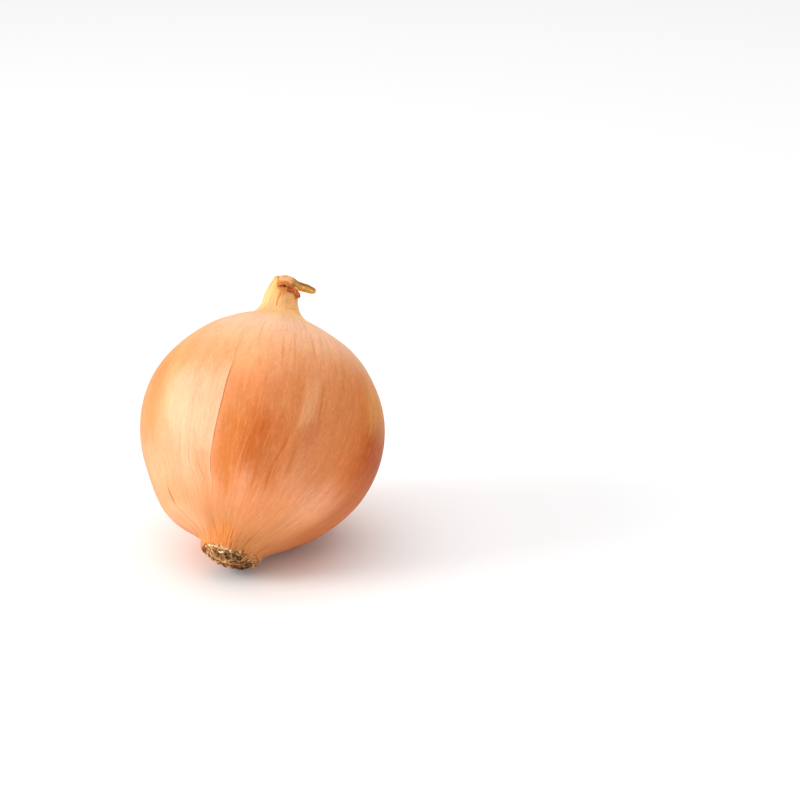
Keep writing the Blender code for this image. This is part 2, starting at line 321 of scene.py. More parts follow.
def skinSurface(share, radius, height):
    # points of the skin, share of a turn away from the free edge; also what the material reads there
    form = skinForm
    turn = share * 360.0
    angle = edgeAngle(height) - 2 * math.pi * share * (1 - form["edgeGap"])
    front = np.degrees(angle) % 360.0 - 360.0
    direction = np.stack([np.cos(angle), np.sin(angle), height / form["globeRadius"]], axis=1)
    onNeck = ramp(height, *form["neckFrom"])
    onRim = ramp(height, *form["rimFrom"])
    offHollow = ramp(radius, *form["hollowRim"])
    onCollar = (1 - ramp(height, -40.2, -38.2)) * offHollow

    # low ridges and fine veins that run from the root to the neck, and pleats on the neck
    ridged = (1 - onNeck) * np.minimum(radius / form["ridgeRadius"], 1.0) ** 1.2
    pleated = onNeck * np.minimum(radius / form["pleatRadius"], 1.0)
    out = waves(form["ridges"], angle) * ridged + waves(form["pleats"], angle) * pleated
    for count, size, seed in form["fineRidges"]:
        out += size * noiseAt(direction, (count, count, form["ridgeStretch"]), seed) * ridged
    for count, size, seed in form["fineFolds"]:
        out += size * noiseAt(direction, (count, count, form["foldStretch"]), seed) * pleated

    # the outer skin's step and its lifted lip, with creases beside it
    along = between(height, *form["edgeSpan"])
    lift = 0.65 + 0.5 * noiseAt(np.stack([height * 0.16, share * 0, share * 0], axis=1), 1.0, 21)
    out += form["edgeStep"] * along * (1 - share) ** 2
    out += form["edgeLift"] * along * lift * np.exp(-turn / form["liftWidth"])
    out -= form["edgeHollow"] * along * np.exp(-(360.0 - turn) / form["hollowWidth"])
    fade = form["creaseFade"]
    for offset, depth, low, high in form["creases"]:
        wander = offset + 0.5 * np.sin(height * 0.35 + offset)
        crease = hump(turn, wander, form["creaseWidth"])
        out -= depth * crease * between(height, low, low + fade, high - fade, high)

    # the neck's torn mark and creases, and the places where the skin is drawn in
    torn = tearMark(angle, radius, height)
    out -= form["tearDepth"] * torn
    for level, slope, thick, depth, middle, spread in form["neckCreases"]:
        level = level + slope * (front - form["frontAngle"])
        out -= depth * hump(height, level, thick) * hump(front, middle, spread)
    out -= dent("tuck", front) * ramp(height, 45.0, 50.5) * ramp(radius, 2.6, 3.6)
    out -= dent("waist", front) * hump(height, 41.2, 2.6)
    out -= dent("collarIn", front) * (1 - ramp(height, -39.5, -34.5)) * offHollow

    # frayed rims of the mouth and of the root collar
    fray = noiseAt(direction, (6.0, 6.0, 0.4), 31) + 0.7 * noiseAt(direction, (15.0, 15.0, 0.4), 32)
    out += form["collarTear"] * fray * onCollar
    out = radius + np.where(radius > 0, out, 0.0)
    rise = form["mouthTilt"] * onNeck * np.cos(angle - math.radians(form["mouthHighAngle"]))
    rise = rise * np.minimum(radius / 3.0, 1.0)
    rise += form["mouthTear"] * fray * onRim * np.minimum(radius / 3.5, 1.0)
    rise += rootSlant(out * np.cos(angle), height) + 0.9 * form["collarTear"] * fray * onCollar
    rise -= dent("mouthDrop", front) * ramp(height, 46.5, 49.5) * ramp(radius, 2.6, 3.4)
    rise -= dent("collarDrop", front) * (1 - ramp(height, -40.3, -37.6)) * offHollow
    points = np.stack([
        out * np.cos(angle) + spineShift(height),
        out * np.sin(angle),
        height + rise,
    ], axis=1)
    place = np.stack([turn, height, radius], axis=1)
    return points, {"direction": direction, "place": place, "torn": torn}


def columnShares(count):
    # columns stand closer together beside the free edge
    closer, reach = skinForm["columnsAtEdge"]
    fine = np.linspace(0.0, 1.0, 4001)
    near = np.minimum(fine, 1 - fine) * 360.0
    weight = np.cumsum(1.0 + closer * np.exp(-(near / reach) ** 2))
    weight = (weight - weight[0]) / (weight[-1] - weight[0])
    return np.interp(np.linspace(0.0, 1.0, count), weight, fine)


def makeSkinMaterial():
    look = {
        "heightSpan": (-41.0, 51.5),
        "height": [  # along the axis, from the root collar to the mouth
            (0.00, (0.52, 0.19, 0.05)), (0.05, (0.85, 0.36, 0.165)), (0.11, (0.89, 0.43, 0.265)),
            (0.26, (0.88, 0.36, 0.175)), (0.46, (0.80, 0.31, 0.13)), (0.66, (0.84, 0.37, 0.16)),
            (0.77, (0.90, 0.48, 0.28)), (0.84, (0.93, 0.54, 0.36)), (0.89, (0.92, 0.52, 0.23)),
            (1.00, (0.90, 0.49, 0.19))],
        # degrees left of the free edge and heights, both where it starts, is full, is full and ends,
        # how ragged, colour, amount
        "zones": [
            # partly painted shade: the right side a deeper orange
            ((180, 225, 292, 322), (-29, -12, 8, 30), 8, (0.55, 0.13, 0.013), 0.80),
            # partly painted shade: darker low on the right, under the belly
            ((150, 195, 260, 290), (-38, -30, -18, -5), 6, (0.54, 0.14, 0.028), 0.86),
            ((294, 312, 334, 350), (-37, -32, -26, -17), 6, (0.77, 0.27, 0.10), 0.66),
            # painted shade: the right limb darkened to a deep brown-orange, also dulling its reflection
            ((205, 235, 274, 296), (-22, -5, 2, 14), 8, (0.44, 0.065, 0.002), 0.95),
            # painted light: a paler yellow glow on the right limb, standing for light thrown onto it
            ((250, 274, 280, 296), (-3, 7, 9, 24), 10, (0.78, 0.42, 0.10), 0.38),
            ((314, 326, 352, 361), (-30, -20, -10, 12), 16, (0.59, 0.155, 0.026), 0.79),
            ((317, 326, 342, 354), (-26, -17, -12, -2), 12, (0.52, 0.096, 0.005), 0.76),
            ((328, 337, 346, 355), (-12, -6, 3, 13), 8, (0.60, 0.13, 0.01), 0.18),
            ((345, 351, 358, 363), (-30, -22, -2, 12), 8, (0.65, 0.22, 0.066), 0.50),
            ((341, 350, 355, 361), (-34, -26, -12, -3), 8, (0.62, 0.17, 0.03), 0.60),
            ((-2, 0, 7, 13), (-33, -28, -22, -15), 5, (0.80, 0.28, 0.11), 0.50),
            # partly painted light from below: paler skin low on the left
            ((3, 30, 60, 100), (-39, -35, -32, -29), 5, (0.94, 0.52, 0.31), 0.40),
            ((-20, -10, 50, 80), (-43, -42, -38, -35), 5, (0.84, 0.29, 0.08), 0.50),
            ((325, 345, 380, 390), (-43, -42, -37, -33), 5, (0.84, 0.27, 0.06), 0.60),
            # paler cream skin left of the free edge, partly a painted highlight
            ((-2, 2, 24, 37), (-22, -8, 1, 11), 6, (0.96, 0.61, 0.42), 0.38),
            ((14, 32, 58, 80), (2, 12, 24, 34), 6, (0.80, 0.28, 0.09), 0.60),
            ((290, 305, 326, 340), (-28, -18, 3, 22), 8, (0.63, 0.205, 0.064), 0.73),
            ((316, 318.5, 322, 324.5), (-10, -4, 4, 12), 4, (0.84, 0.47, 0.24), 0.35),
            ((308, 312, 316, 320), (-17, -11, -8, -3), 8, (0.55, 0.13, 0.05), 0.32),
            ((303.5, 304.6, 306, 307), (7.2, 8.7, 10.4, 12), 2, (0.55, 0.17, 0.05), 0.40),
            ((307.9, 308.3, 308.8, 309.2), (-0.7, -0.2, 0.2, 0.7), 0, (0.40, 0.10, 0.02), 0.60),
            ((12, 30, 60, 80), (-31, -26, -17, -6), 8, (0.84, 0.31, 0.13), 0.50),
            ((33, 45, 56, 68), (-22, -6, 8, 24), 8, (0.79, 0.20, 0.042), 0.68),
            ((50, 62, 90, 130), (-36, -20, 20, 36), 6, (0.78, 0.22, 0.08), 0.65),
            ((112, 132, 150, 172), (-27, -12, 2, 20), 12, (0.66, 0.19, 0.04), 0.50),
            ((176, 184, 196, 210), (-14, -2, 14, 27), 10, (0.70, 0.22, 0.06), 0.40),
        ],
        # degrees left of the free edge, drift per mm up, half width, lowest and highest end, colour,
        # amount
        "lines": [
            (40.8, 0.0, 0.65, -38.5, -25.0, (0.58, 0.15, 0.02), 0.85),
            (40.2, 0.0, 0.95, -31.6, -26.6, (0.34, 0.06, 0.01), 0.95),
            (323.9, -0.095, 0.9, -27.0, -7.0, (0.46, 0.085, 0.006), 0.55),
            (323.7, 0.33, 1.4, -23.5, -10.0, (0.55, 0.13, 0.03), 0.45),
            (341.5, -0.12, 0.25, -26.0, -4.0, (0.90, 0.42, 0.16), 0.28),
            (315.2, 0.18, 0.50, -9.0, 10.0, (0.48, 0.14, 0.04), 0.50),
            (320.5, 0.0, 0.60, 12.0, 26.0, (0.55, 0.18, 0.05), 0.35),
            (331.0, 0.0, 0.55, 8.0, 26.0, (0.62, 0.22, 0.06), 0.40),
            (337.5, 0.0, 0.50, 6.0, 24.0, (0.62, 0.20, 0.05), 0.40),
            (350.0, 0.0, 0.50, 12.0, 27.0, (0.64, 0.22, 0.06), 0.30),
            (20.3, 0.6, 0.45, -29.0, -17.0, (0.62, 0.18, 0.03), 0.50),
            (16.5, 0.18, 0.45, -34.0, -20.0, (0.66, 0.20, 0.04), 0.40),
            (22.5, 0.0, 0.45, -33.0, -22.0, (0.68, 0.22, 0.06), 0.30),
        ],
        # thin lines from root to neck: how many to a degree, how broad, colour, amount
        "veins": [(0.24, 0.13, "darkFibre", 0.22), (0.71, 0.16, "darkFibre", 0.16),
                  (0.43, 0.10, "paleVein", 0.13)],
        # darker lines along the creases on the front of the neck, partly brown and partly painted shade in
        # the folds: height, fall per degree, half width
        "neckLines": [(40.4, 0.0556, 0.30), (44.2, 0.061, 0.26), (43.3, 0.055, 0.20)],
        "frontTurn": 324,   # where those heights hold
        # paler lip colour, partly a painted highlight
        "lipAndHighlight": (0.96, 0.64, 0.40),
        "edgeShade": (0.45, 0.13, 0.02),
        "redBrown": (0.42, 0.10, 0.02),
        "tear": (0.62, 0.22, 0.045),
        "darkFibre": (0.60, 0.18, 0.04),
        "paleFibre": (0.93, 0.52, 0.26),
        "paleVein": (0.96, 0.56, 0.28),
        "green": (0.76, 0.66, 0.28),
        "warm": (0.86, 0.40, 0.13),
        "wrinkle": (0.58, 0.24, 0.06),
        "inside": (0.78, 0.20, 0.03),
    }
    material, tree, shader = newMaterial("onionSkin", roughness=0.46, specular=0.08, subsurface=0.08)
    direction = kept(tree, "direction").outputs["Vector"]
    place = tree.nodes.new("ShaderNodeSeparateXYZ")
    tree.links.new(kept(tree, "place").outputs["Vector"], place.inputs[0])
    turn, height, radius = place.outputs
    torn = kept(tree, "torn").outputs["Fac"]

    # noise that runs along the veins: broad bands, streaks and fine fibres
    bands = grain(tree, direction, 4.0, 3.0, (1, 1, 0.16))
    streaks = grain(tree, direction, 15.0, 4.0, (1, 1, 0.11), distortion=0.15)
    fibres = grain(tree, direction, 62.0, 4.0, (1, 1, 0.10), roughness=0.65)
    blotches = grain(tree, direction, 2.4, 3.0, (1, 1, 0.8))
    mottling = grain(tree, direction, 22.0, 4.0, (1, 1, 0.35), roughness=0.6)
    paper = grain(tree, direction, 55.0, 3.0, (1, 1, 0.6), roughness=0.6)

    colour = colourRamp(tree, mapped(tree, height, *look["heightSpan"]), look["height"])

    def paint(mask, shade, amount=1.0):
        return mixed(tree, calc(tree, "MULTIPLY", mask, amount), colour, (*shade, 1.0))

    aside = calc(tree, "MULTIPLY_ADD", calc(tree, "SUBTRACT", bands, 0.5), 10.0, turn)
    loose = calc(tree, "SUBTRACT", streaks, 0.5)
    for degrees, heights, ragged, shade, amount in look["zones"]:
        along = calc(tree, "MULTIPLY_ADD", loose, ragged, height)
        mask = calc(tree, "MULTIPLY", within(tree, aside, *degrees), within(tree, along, *heights))
        colour = paint(mask, shade, amount)

    # veins, which fade in and out
    wander = calc(tree, "MULTIPLY_ADD", calc(tree, "SUBTRACT", blotches, 0.5), 3.0, turn)
    aloft = mapped(tree, height, -37.0, -26.0, 0.25, 1.0)
    for count, width, tone, amount in look["veins"]:
        cells = tree.nodes.new("ShaderNodeTexVoronoi")
        cells.voronoi_dimensions = "1D"
        cells.feature = "DISTANCE_TO_EDGE"
        cells.inputs["Scale"].default_value = count
        tree.links.new(wander, cells.inputs["W"])
        line = mapped(tree, cells.outputs["Distance"], 0.0, width, 1.0, 0.0)
        fading = mapped(tree, grain(tree, direction, 5.0 + 9 * count, 2.0, (1, 1, 0.5)), 0.42, 0.66)
        line = calc(tree, "MULTIPLY", calc(tree, "MULTIPLY", line, fading), aloft)
        colour = paint(line, look[tone], amount)
    steady = calc(tree, "MULTIPLY_ADD", calc(tree, "SUBTRACT", streaks, 0.5), 0.9, turn)
    for middle, drift, width, low, high, shade, amount in look["lines"]:
        middle = calc(tree, "MULTIPLY_ADD", height, drift, middle)
        away = calc(tree, "ABSOLUTE", calc(tree, "SUBTRACT", steady, middle))
        fade = min(5.0, (high - low) / 3)
        mask = calc(tree, "MULTIPLY", mapped(tree, away, 0.0, width * 1.6, 1.0, 0.0),
                    within(tree, height, low, low + fade, high - fade, high))
        colour = paint(mask, shade, amount)
    colour = paint(mapped(tree, fibres, 0.50, 0.72), look["darkFibre"], 0.26)
    colour = paint(mapped(tree, fibres, 0.50, 0.28), look["paleFibre"], 0.14)
    colour = paint(mapped(tree, mottling, 0.50, 0.70), look["darkFibre"], 0.16)
    colour = paint(mapped(tree, mottling, 0.50, 0.30), look["paleFibre"], 0.10)
    shade = calc(tree, "MULTIPLY", mapped(tree, streaks, 0.3, 0.7, 0.97, 1.025),
                 mapped(tree, bands, 0.25, 0.75, 0.95, 1.04))
    shade = calc(tree, "MULTIPLY", shade, mapped(tree, paper, 0.3, 0.7, 0.94, 1.05))
    shade = calc(tree, "MULTIPLY", shade, mapped(tree, blotches, 0.3, 0.7, 0.96, 1.03))
    colour = mixed(tree, 1.0, colour, shade, "MULTIPLY")

    # the free edge: a paler lip that is partly a painted highlight, and a painted hairline of shade beside
    # it
    along = within(tree, calc(tree, "MULTIPLY_ADD", loose, 10.0, height), -32, -24, -2, 16)
    colour = paint(calc(tree, "MULTIPLY", mapped(tree, turn, 0.2, 1.9, 1.0, 0.0), along), look["lipAndHighlight"], 0.20)
    colour = paint(calc(tree, "MULTIPLY", mapped(tree, turn, 359.0, 359.9), along), look["edgeShade"], 0.09)

    # the neck: greenish on its left, with brown wrinkles
    onNeck = mapped(tree, height, 37.0, 41.0)
    green = mapped(tree, grain(tree, direction, 7.0, 2.0, (1, 1, 0.8)), 0.42, 0.62)
    green = calc(tree, "MULTIPLY", green, onNeck)
    colour = paint(calc(tree, "MULTIPLY", green, within(tree, turn, 10, 35, 120, 180)), look["green"], 0.50)
    warm = mapped(tree, grain(tree, direction, 9.0, 3.0, (1, 1, 0.6)), 0.47, 0.62)
    colour = paint(calc(tree, "MULTIPLY", warm, onNeck), look["warm"], 0.55)
    wrinkles = mapped(tree, grain(tree, direction, 26.0, 4.0, (1, 1, 0.5), distortion=0.6), 0.53, 0.68)
    colour = paint(calc(tree, "MULTIPLY", wrinkles, mapped(tree, height, 38.5, 43.0)), look["wrinkle"], 0.40)
    # darker lines along the neck's creases, partly brown and partly painted shade in the folds
    front = within(tree, turn, 283, 292, 320, 330)
    for level, slope, reach in look["neckLines"]:
        line = calc(tree, "MULTIPLY_ADD", turn, slope, height)
        line = calc(tree, "SUBTRACT", line, level + slope * look["frontTurn"])
        line = calc(tree, "MULTIPLY_ADD", loose, 0.5, line)
        creaseTintAndShade = mapped(tree, calc(tree, "ABSOLUTE", line), 0.0, reach, 1.0, 0.0)
        colour = paint(calc(tree, "MULTIPLY", creaseTintAndShade, front), look["wrinkle"], 0.65)
    mouth = mapped(tree, radius, 3.1, 3.6, 1.0, 0.0)
    mouth = calc(tree, "MULTIPLY", mouth, mapped(tree, height, 45.0, 46.5))
    colour = paint(mouth, look["inside"], 0.9)

    # red-brown streaks spread up from the root collar
    low = calc(tree, "MULTIPLY_ADD", loose, 7.0, height)
    rootLines = mapped(tree, grain(tree, direction, 44.0, 3.0, (1, 1, 0.20)), 0.50, 0.64)
    rootLines = calc(tree, "MULTIPLY", rootLines, mapped(tree, low, -38.8, -34.0, 1.0, 0.0))
    colour = paint(rootLines, look["redBrown"], 0.9)
    colour = paint(torn, look["tear"], 0.85)
    tree.links.new(colour, shader.inputs["Base Color"])

    roughness = mapped(tree, fibres, 0.2, 0.8, 0.40, 0.52)
    tree.links.new(roughness, shader.inputs["Roughness"])
    relief = calc(tree, "MULTIPLY_ADD", streaks, 0.5, calc(tree, "MULTIPLY_ADD", paper, 0.6, fibres))
    bumped(tree, shader, relief, 0.22, 0.0001)
    return material


def makeSkin():
    line = smoothLine(skinForm["outline"], skinForm["stepsPerKnot"])
    share = columnShares(skinForm["columns"])
    rings = line[1:-1]
    radius = np.repeat(rings[:, 0], len(share))
    height = np.repeat(rings[:, 1], len(share))
    points, values = skinSurface(np.tile(share, len(rings)), radius, height)
    ends, endValues = skinSurface(np.array([0.5, 0.5]), np.zeros(2), line[[0, -1], 1])
    points = toWorld(np.vstack([points, ends]))
    points[:, 2] = np.maximum(points[:, 2], 0.0)      # the flat spot that it rests on
    values = {label: np.concatenate([values[label], endValues[label]]) for label in values}
    count = len(share)
    faces = [tuple(reversed(face)) for face in gridFaces(len(rings), count, closed=True)]
    low, high, last = len(rings) * count, len(rings) * count + 1, (len(rings) - 1) * count
    for k in range(count):
        after = (k + 1) % count
        faces.append((low, k, after))
        faces.append((high, last + after, last + k))
    skin = meshPiece("bulbSkin", points, faces, makeSkinMaterial(), 60.0, **values)
    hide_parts("bulb")
    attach(skin, "root")
    print("skin:", len(skin.data.polygons), "faces")


makeSkin()


# the root tuft
rootForm = {
    "plateRadius": 8.7,
    "plateHeight": -39.5,
    "plateTop": -38.6,
    "plateDepth": 2.75,     # how far the middle of the plate bulges out
    "plateGrid": (14, 72),
    "plateRough": 0.25,
    "leftIn": 0.86,         # how much narrower the mat is on its left
    "matDepth": 1.15,       # how far the stubs stand out from the plate
    "matRim": 0.3,
    "stubs": 760,
    "sides": 6,
    "steps": 7,
    "radius": (0.17, 0.36),
    "length": (1.6, 3.6),
    "curl": 0.6,
    "wander": 0.25,
    "shades": [0.15, 0.3, 0.4, 0.5, 0.55, 0.65, 0.8],
    "rimFrom": 0.86,        # share of the radius outside which the roots are paler
    "seed": 4,
}
knobForm = {  # scales and short roots that cling to the collar
    "count": 460,
    "front": (-185.0, 60.0),      # degrees round the collar
    "back": (60.0, 150.0),        # where every eighth one is
    "lowest": -40.7,
    "reach": (0.6, 2.2, 5.0, 46.0),   # height, extra on the right, its middle and spread in degrees
    "collar": ((-40.5, -39.7, -38.5, -37.4), (9.0, 9.75, 10.2, 11.1)),   # heights and radii
    "sunk": 0.25,
    "size": (0.3, 0.75),
    "radius": (0.24, 0.46),
    "hook": 0.45,
}


def rootPlace(points):
    points = np.array(points, float)
    points[:, 2] += -onion["rootTilt"] * points[:, 0]
    points[:, 0] *= np.where(points[:, 0] < 0, rootForm["leftIn"], 1.0)
    points[:, 0] += float(spineShift(-40.2))
    return points


def tube(path, radii, sides, twist=0.0):
    # a round tube along the path, closed at both ends; returns points and faces
    path = np.asarray(path, float)
    ahead = unitRows(np.gradient(path, axis=0))
    side = unitRows(np.cross(ahead, (0.31, 0.52, 0.79)))
    other = np.cross(ahead, side)
    around = np.linspace(0, 2 * math.pi, sides, endpoint=False) + twist
    ring = (side[:, None, :] * np.cos(around)[None, :, None]
            + other[:, None, :] * np.sin(around)[None, :, None])
    points = path[:, None, :] + np.asarray(radii)[:, None, None] * ring
    faces = gridFaces(len(path), sides, closed=True)
    faces.append(tuple(reversed(range(sides))))
    faces.append(tuple(range((len(path) - 1) * sides, len(path) * sides)))
    return points.reshape(-1, 3), faces


def plateLevel(across):
    # height of the plate's face at this distance from its middle
    share = min(across / rootForm["plateRadius"], 1.0)
    return rootForm["plateHeight"] - rootForm["plateDepth"] * (1 - share**3.2)


def stubPath(draw, spread, angle):
    # a root that leaves the plate and curls over its neighbours
    form = rootForm
    reach = form["plateRadius"] - form["matRim"]
    level = plateLevel(reach * spread)
    point = np.array([math.cos(angle) * reach * spread, math.sin(angle) * reach * spread, level + 0.4])
    heading = np.array([draw.uniform(-0.5, 0.5), draw.uniform(-0.5, 0.5), -1.0])
    step = draw.uniform(*form["length"]) / form["steps"]
    swing = np.array([draw.uniform(-1, 1), draw.uniform(-1, 1), draw.uniform(0.0, 0.8)]) * form["curl"]
    path = [point]
    for k in range(form["steps"]):
        heading = heading + swing + np.array([draw.uniform(-1, 1) for axis in range(3)]) * form["wander"]
        heading /= np.linalg.norm(heading)
        point = point + heading * step
        across = math.hypot(point[0], point[1])
        if across > reach:
            point[:2] *= reach / across
        level = plateLevel(math.hypot(point[0], point[1]))
        point[2] = min(max(point[2], level - form["matDepth"]), level - 0.1 if k else point[2])
        path.append(point.copy())
    return path


def knobPath(draw, degrees, reach):
    # a short piece that leaves the collar downwards, with a bend in it
    form = knobForm
    angle = math.radians(degrees)
    height = form["lowest"] + reach
    foot = np.interp(height, *form["collar"]) - dent("collarIn", degrees % 360 - 360) - form["sunk"]
    foot = np.array([math.cos(angle) * foot, math.sin(angle) * foot, height])
    away = np.array([0.4 * math.cos(angle), 0.4 * math.sin(angle), draw.uniform(-1.3, -0.1)])
    away += np.array([-math.sin(angle), math.cos(angle), 0.0]) * draw.uniform(-1.2, 1.2)
    away /= np.linalg.norm(away)
    size = draw.uniform(*form["size"]) * (1.0 if degrees < form["front"][1] else 0.5)
    hook = np.array([draw.uniform(-1, 1), draw.uniform(-1, 1), draw.uniform(-1, 1)]) * form["hook"]
    return [foot - away * 0.5, foot, foot + away * size * 0.5 + hook, foot + away * size]


def makeRootMaterial():
    look = {
        "tones": [(0.0, (0.06, 0.028, 0.009)), (0.25, (0.22, 0.10, 0.030)), (0.5, (0.50, 0.24, 0.085)),
                  (0.78, (0.74, 0.43, 0.18)), (1.0, (0.93, 0.74, 0.42))],
        "reddish": (0.55, 0.17, 0.04),
        # painted shade deep in the root mat
        "shadeInMat": (0.040, 0.018, 0.006),
    }
    material, tree, shader = newMaterial("dryRoot", roughness=0.8, specular=0.25)
    tone = kept(tree, "tone").outputs["Fac"]
    depth = kept(tree, "depth").outputs["Fac"]
    where = tree.nodes.new("ShaderNodeTexCoord").outputs["Object"]
    mottled = grain(tree, where, 900.0, 4.0)
    factor = calc(tree, "ADD", tone, mapped(tree, mottled, 0.3, 0.7, -0.14, 0.14))
    colour = colourRamp(tree, factor, look["tones"])
    reddish = mapped(tree, grain(tree, where, 260.0, 2.0), 0.55, 0.66)
    colour = mixed(tree, calc(tree, "MULTIPLY", reddish, 0.45), colour, (*look["reddish"], 1))
    # painted shade: darker where the stubs leave the plate, and on the plate itself
    colour = mixed(tree, mapped(tree, depth, 0.0, 0.45, 0.9, 0.0), colour, (*look["shadeInMat"], 1))
    tree.links.new(colour, shader.inputs["Base Color"])
    bumped(tree, shader, mottled, 0.6, 0.0002)
    return material


def makeRootTuft():
    form = rootForm
    draw = random.Random(form["seed"])
    golden = math.pi * (3 - math.sqrt(5))
    points, faces, tone, depth = [], [], [], []

    def add(newPoints, newFaces, newTone, newDepth):
        start = sum(len(p) for p in points)
        points.append(rootPlace(newPoints))
        faces.extend(tuple(start + i for i in face) for face in newFaces)
        tone.append(np.full(len(newPoints), newTone))
        depth.append(newDepth)

    # the corky plate: a low uneven dome that closes the root hollow
    rings, columns = form["plateGrid"]
    around = np.linspace(0, 2 * math.pi, columns, endpoint=False)
    levels = [form["plateRadius"] * (k + 1) / rings for k in range(rings)]
    levels = [(across, plateLevel(across)) for across in levels] + [(form["plateRadius"], form["plateTop"])]
    shell = np.array([(r * math.cos(a), r * math.sin(a), z) for r, z in levels for a in around])
    shell[:, 2] += form["plateRough"] * noiseAt(shell, 0.9, 41) * (shell[:, 2] < -39)
    shellFaces = gridFaces(len(levels), columns, closed=True)
    shellFaces.append(tuple(reversed(range(columns))))
    shellFaces.append(tuple(range(len(shell) - columns, len(shell))))
    add(shell, shellFaces, 0.12, np.full(len(shell), 0.3))

    for i in range(form["stubs"]):
        spread = math.sqrt((i + 0.5) / form["stubs"])
        angle = i * golden + draw.uniform(-0.12, 0.12)
        path = stubPath(draw, spread, angle)
        thick = draw.uniform(*form["radius"])
        radii = [thick * (1.05 - 0.25 * k / len(path)) for k in range(len(path))]
        tubePoints, tubeFaces = tube(path, radii, form["sides"], draw.uniform(0, 6))
        shade = draw.choice(form["shades"]) + draw.uniform(-0.1, 0.1)
        if spread > form["rimFrom"]:
            shade += draw.uniform(0.0, 0.35)
        # painted shade: stubs that end on the right and below are darker
        shade -= 0.22 * (path[-1][0] > 2.5)           # darker on the right and below
        shade -= 0.24 * min(max(path[-1][1] / 4.0, 0.0), 1.0)
        # 0 where a stub leaves the plate, where the material paints shade
        tips = np.repeat(np.linspace(0.0, 1.0, len(path)), form["sides"])
        add(tubePoints, tubeFaces, shade, tips)

    more, extra, middle, width = knobForm["reach"]
    for i in range(knobForm["count"]):
        degrees = draw.uniform(*(knobForm["front"] if i % 8 else knobForm["back"]))
        reach = draw.random() ** 0.8 * (more + extra * math.exp(-((degrees - middle) / width) ** 2))
        path = knobPath(draw, degrees, reach)
        thick = draw.uniform(*knobForm["radius"]) * (1.0 - 0.12 * reach)
        radii = [thick * 0.8, thick, thick * 0.95, thick * 0.55]
        tubePoints, tubeFaces = tube(path, radii, form["sides"], draw.uniform(0, 6))
        shade = draw.uniform(0.45, 1.05) if degrees < -55 else draw.uniform(0.15, 0.80)
        add(tubePoints, tubeFaces, shade, np.full(len(tubePoints), 1.0))

    tuft = meshPiece("rootTuft", toWorld(np.vstack(points)), faces, makeRootMaterial(), 50.0,
                     tone=np.concatenate(tone), depth=np.concatenate(depth))
    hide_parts("root_tuft")
    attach(tuft, "root")
    print("root tuft:", len(tuft.data.polygons), "faces")


makeRootTuft()


# the dry leaf ends in the neck
def neckPlace(across, forward, height):
    # across to the right, forward to the front and height along the axis, from the middle of the neck
    side = math.radians(onion["mouthTurn"])
    across, forward, height = (np.asarray(v, float) for v in (across, forward, height))
    return np.stack([
        across * math.cos(side) + forward * math.sin(side) + spineShift(height),
        across * math.sin(side) - forward * math.cos(side),
        height,
    ], axis=-1)


def sheetPiece(name, grid, share, reach, thickness, material, node=None):
    # a thin sheet from a grid of points, thickened evenly on both sides; span is the place on it,
    # across from -1 to 1 and along from 0 to its reach, for the material
    rows, columns = grid.shape[:2]
    along = np.repeat(np.linspace(0, reach, rows), columns)
    span = np.stack([np.tile(share, rows), along, np.zeros(rows * columns)], axis=1)
    points = toWorld(grid.reshape(-1, 3))
    piece = meshPiece(name, points, gridFaces(rows, columns), material, 55.0, span=span)
    thicken = piece.modifiers.new("thickness", "SOLIDIFY")
    thicken.thickness = thickness * 0.001
    thicken.offset = 0.0
    if node:
        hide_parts(node)
    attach(piece, "root")
    print(name + ":", rows, "x", columns)


def makeDryMaterial(name, tones, edge, roughness=0.6, rim=0.75, end=None):
    # dry leaf: fibres along it, darker towards its edges and, if it has an end colour, at its free end
    material, tree, shader = newMaterial(name, roughness=roughness, specular=0.35, subsurface=0.05)
    along = tree.nodes.new("ShaderNodeSeparateXYZ")
    tree.links.new(kept(tree, "span").outputs["Vector"], along.inputs[0])
    fibres = grain(tree, kept(tree, "span").outputs["Vector"], 9.0, 4.0, (1.0, 0.12, 1.0))
    patches = grain(tree, kept(tree, "span").outputs["Vector"], 2.5, 3.0, (1.0, 0.6, 1.0))
    factor = calc(tree, "MULTIPLY_ADD", calc(tree, "SUBTRACT", fibres, 0.5), 0.9, patches)
    colour = colourRamp(tree, factor, tones)
    sides = mapped(tree, calc(tree, "ABSOLUTE", along.outputs[0]), rim, 1.0)
    colour = mixed(tree, calc(tree, "MULTIPLY", sides, 0.8), colour, (*edge, 1))
    if end:
        loose = calc(tree, "MULTIPLY_ADD", calc(tree, "SUBTRACT", patches, 0.5), 1.2, along.outputs[1])
        colour = mixed(tree, mapped(tree, loose, 4.5, 5.3, 0.0, 0.95), colour, (*end, 1))
    tree.links.new(colour, shader.inputs["Base Color"])
    bumped(tree, shader, fibres, 0.5, 0.0001)
    return material


tipForm = {
    "path": [  # across, forward, height, half of the width
        (-0.4, -1.6, 47.9, 1.8), (-0.4, -2.0, 49.7, 2.3), (-0.25, -1.4, 51.0, 2.5), (-0.1, 0.1, 51.55, 2.6),
        (0.05, 1.8, 50.95, 2.7), (0.1, 3.1, 49.75, 2.7), (0.1, 3.75, 48.3, 2.5), (0.15, 4.1, 47.2, 2.1)],
    "columns": 31,
    "arch": 72.0,           # degrees that each half of it bends down
    "bulge": 1.624,
    "bend": 0.21,           # how far it is bent out of true, and how finely it is crumpled
    "crumple": 0.15,
    "fray": 0.6,
    "frayRows": 6,
    "thickness": 0.20,
    "tones": [(0.2, (0.60, 0.19, 0.035)), (0.5, (0.84, 0.40, 0.15)), (0.8, (0.90, 0.50, 0.22))],
    "edge": (0.22, 0.10, 0.015),
    "end": (0.52, 0.125, 0.012),
}


